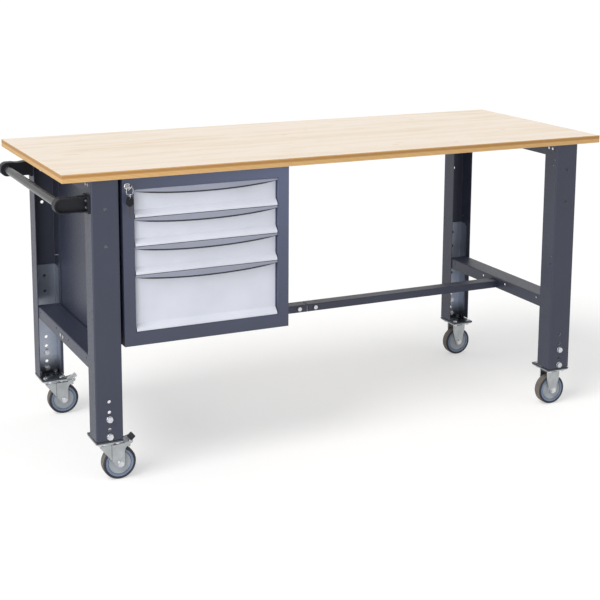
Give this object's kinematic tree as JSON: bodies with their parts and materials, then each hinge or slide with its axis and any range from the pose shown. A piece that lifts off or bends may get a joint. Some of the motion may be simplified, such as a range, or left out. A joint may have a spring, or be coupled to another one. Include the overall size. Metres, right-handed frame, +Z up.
{
  "type": "mobile work table",
  "caption": "Plywood topped steel work table on casters, with a drawer cabinet hung under one end, a push handle on the legs there and a stretcher between the leg frames.",
  "frame": {"origin": "on the floor, at the middle of the table's outline with its handle and key", "axes": "+X along the table, away from the push handle; +Y to the back, so the drawers open towards -Y; +Z up"},
  "size_m": [1.817, 0.726, 0.915],
  "materials": {
    "birch_ply": "satin varnish",
    "frame_paint": "satin powder coat",
    "cabinet_paint": "satin powder coat",
    "drawer_paint": "satin powder coat",
    "galvanised_steel": "galvanised",
    "zinc_fasteners": "bright zinc",
    "caster_zinc": "zinc plated",
    "runner_steel": "zinc plated",
    "bar_paint": "satin",
    "black_plastic": "fine grained",
    "pedal_plastic": "matte",
    "key_plastic": "satin",
    "lock_chrome": "polished",
    "grey_rubber": "matte",
    "hub_plastic": "satin"
  },
  "bodies": {
    "frame": {"worktop": "birch_ply", "front_left_leg": "frame_paint", "rear_left_leg": "frame_paint", "front_right_leg": "frame_paint", "rear_right_leg": "frame_paint", "front_left_foot": "galvanised_steel", "rear_left_foot": "galvanised_steel", "front_right_foot": "galvanised_steel", "rear_right_foot": "galvanised_steel", "left_top_rail": "frame_paint", "right_top_rail": "frame_paint", "left_cross_rail": "frame_paint", "right_cross_rail": "frame_paint", "left_side_panel": "frame_paint", "stretcher_left": "frame_paint", "stretcher_right": "frame_paint", "stretcher_splice": "galvanised_steel", "frame_fasteners": "zinc_fasteners", "handle_bar": "bar_paint", "handle_bracket_front": "black_plastic", "handle_bracket_rear": "black_plastic", "cabinet_shell": "cabinet_paint", "cabinet_front_frame": "cabinet_paint", "cabinet_runners": "runner_steel", "lock_barrel": "lock_chrome", "front_left_caster_plate": "caster_zinc", "rear_left_caster_plate": "caster_zinc", "front_right_caster_bracket": "caster_zinc", "rear_right_caster_bracket": "caster_zinc", "caster_fasteners": "zinc_fasteners"},
    "drawer_1": {"drawer_1_tray": "drawer_paint", "drawer_1_front": "drawer_paint"},
    "runners_1": {"drawer_1_runners": "runner_steel"},
    "drawer_2": {"drawer_2_tray": "drawer_paint", "drawer_2_front": "drawer_paint"},
    "runners_2": {"drawer_2_runners": "runner_steel"},
    "drawer_3": {"drawer_3_tray": "drawer_paint", "drawer_3_front": "drawer_paint"},
    "runners_3": {"drawer_3_runners": "runner_steel"},
    "drawer_4": {"drawer_4_tray": "drawer_paint", "drawer_4_front": "drawer_paint"},
    "runners_4": {"drawer_4_runners": "runner_steel"},
    "lock": {"lock_core": "lock_chrome", "key": "lock_chrome"},
    "keyring": {"spare_key": "key_plastic"},
    "locking_bar": {"locking_bar": "runner_steel"},
    "front_left_swivel": {"front_left_fork": "caster_zinc", "front_left_axle": "zinc_fasteners"},
    "front_left_brake": {"front_left_brake_pedal": "pedal_plastic"},
    "rear_left_swivel": {"rear_left_fork": "caster_zinc", "rear_left_axle": "zinc_fasteners"},
    "rear_left_brake": {"rear_left_brake_pedal": "pedal_plastic"},
    "front_left_wheel": {"front_left_tyre": "grey_rubber", "front_left_hub": "hub_plastic"},
    "front_right_wheel": {"front_right_tyre": "grey_rubber", "front_right_hub": "hub_plastic"},
    "rear_left_wheel": {"rear_left_tyre": "grey_rubber", "rear_left_hub": "hub_plastic"},
    "rear_right_wheel": {"rear_right_tyre": "grey_rubber", "rear_right_hub": "hub_plastic"}
  },
  "joints": [
    {"name": "drawer_1_slide", "type": "slide", "parent": "frame", "child": "drawer_1", "axis": [0, -1, 0], "range_m": [0, 0.45]},
    {"name": "runners_1_slide", "type": "slide", "parent": "frame", "child": "runners_1", "axis": [0, -1, 0], "range_m": [0, 0.225]},
    {"name": "drawer_2_slide", "type": "slide", "parent": "frame", "child": "drawer_2", "axis": [0, -1, 0], "range_m": [0, 0.45]},
    {"name": "runners_2_slide", "type": "slide", "parent": "frame", "child": "runners_2", "axis": [0, -1, 0], "range_m": [0, 0.225]},
    {"name": "drawer_3_slide", "type": "slide", "parent": "frame", "child": "drawer_3", "axis": [0, -1, 0], "range_m": [0, 0.45]},
    {"name": "runners_3_slide", "type": "slide", "parent": "frame", "child": "runners_3", "axis": [0, -1, 0], "range_m": [0, 0.225]},
    {"name": "drawer_4_slide", "type": "slide", "parent": "frame", "child": "drawer_4", "axis": [0, -1, 0], "range_m": [0, 0.45]},
    {"name": "runners_4_slide", "type": "slide", "parent": "frame", "child": "runners_4", "axis": [0, -1, 0], "range_m": [0, 0.225]},
    {"name": "lock_turn", "type": "hinge", "parent": "frame", "child": "lock", "pos_m": [-0.705, -0.3325, 0.869], "axis": [0, -1, 0], "range_deg": [0, 90]},
    {"name": "locking_bar_slide", "type": "slide", "parent": "frame", "child": "locking_bar", "axis": [0, 0, 1], "range_m": [0, 0.007]},
    {"name": "keyring_swing", "type": "hinge", "parent": "frame", "child": "keyring", "pos_m": [-0.705, -0.3557, 0.869], "axis": [-1, 0, 0], "range_deg": [-10, 60]},
    {"name": "front_left_swivel", "type": "hinge", "parent": "frame", "child": "front_left_swivel", "pos_m": [-0.7695, -0.285, 0.115], "axis": [0, 0, 1], "continuous": true},
    {"name": "front_left_brake", "type": "hinge", "parent": "front_left_swivel", "child": "front_left_brake", "pos_m": [-0.7065, -0.285, 0.109], "axis": [0, 1, 0], "range_deg": [0, 15]},
    {"name": "rear_left_swivel", "type": "hinge", "parent": "frame", "child": "rear_left_swivel", "pos_m": [-0.7695, 0.308, 0.115], "axis": [0, 0, 1], "continuous": true},
    {"name": "rear_left_brake", "type": "hinge", "parent": "rear_left_swivel", "child": "rear_left_brake", "pos_m": [-0.7065, 0.308, 0.109], "axis": [0, 1, 0], "range_deg": [0, 15]},
    {"name": "front_left_wheel", "type": "hinge", "parent": "front_left_swivel", "child": "front_left_wheel", "pos_m": [-0.7315, -0.285, 0.05], "axis": [0, 1, 0], "continuous": true},
    {"name": "front_right_wheel", "type": "hinge", "parent": "frame", "child": "front_right_wheel", "pos_m": [0.7865, -0.285, 0.05], "axis": [0, 1, 0], "continuous": true},
    {"name": "rear_left_wheel", "type": "hinge", "parent": "rear_left_swivel", "child": "rear_left_wheel", "pos_m": [-0.7315, 0.308, 0.05], "axis": [0, 1, 0], "continuous": true},
    {"name": "rear_right_wheel", "type": "hinge", "parent": "frame", "child": "rear_right_wheel", "pos_m": [0.7865, 0.308, 0.05], "axis": [0, 1, 0], "continuous": true}
  ],
  "couplings": [
    {"joint": "runners_1_slide", "follows": "drawer_1_slide", "ratio": 0.5},
    {"joint": "runners_2_slide", "follows": "drawer_2_slide", "ratio": 0.5},
    {"joint": "runners_3_slide", "follows": "drawer_3_slide", "ratio": 0.5},
    {"joint": "runners_4_slide", "follows": "drawer_4_slide", "ratio": 0.5},
    {"joint": "lock_turn", "follows": "locking_bar_slide", "rad_per_m": 222.22}
  ]
}
